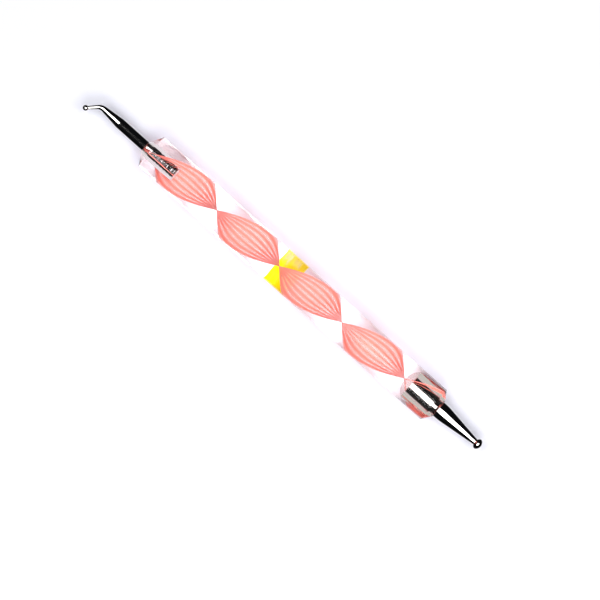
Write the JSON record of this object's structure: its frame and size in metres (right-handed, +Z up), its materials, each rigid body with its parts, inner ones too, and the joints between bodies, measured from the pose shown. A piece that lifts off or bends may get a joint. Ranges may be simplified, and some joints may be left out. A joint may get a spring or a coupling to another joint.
{
  "type": "embossing stylus",
  "caption": "Double-ended embossing stylus: clear rod handle with a ribbon of twisted coloured strips cast inside, a bent fine ball tip at one end and a tapered broad ball tip at the other.",
  "frame": {"origin": "bottom centre of the bounding box, on the surface that the stylus lies on", "axes": "+X along the handle from the fine tip to the broad tip, +Z up, the fine tip bends towards -Y"},
  "size_m": [0.1332, 0.01, 0.01],
  "materials": {
    "clear_acrylic": "polished",
    "ribbon_salmon": "gloss",
    "tip_steel": "polished",
    "clear_glue": "gloss"
  },
  "bodies": {
    "root": {"handle_rod": "clear_acrylic", "ribbon_strip_1": "ribbon_salmon", "ribbon_strip_2": "ribbon_salmon", "ribbon_strip_3": "ribbon_salmon", "ribbon_strip_4": "ribbon_salmon", "ribbon_strip_5": "ribbon_salmon", "ribbon_strip_6": "ribbon_salmon", "ribbon_strip_7": "ribbon_salmon", "fine_tip": "tip_steel", "broad_tip": "tip_steel", "fine_tip_glue": "clear_glue", "broad_tip_glue": "clear_glue"}
  },
  "joints": []
}
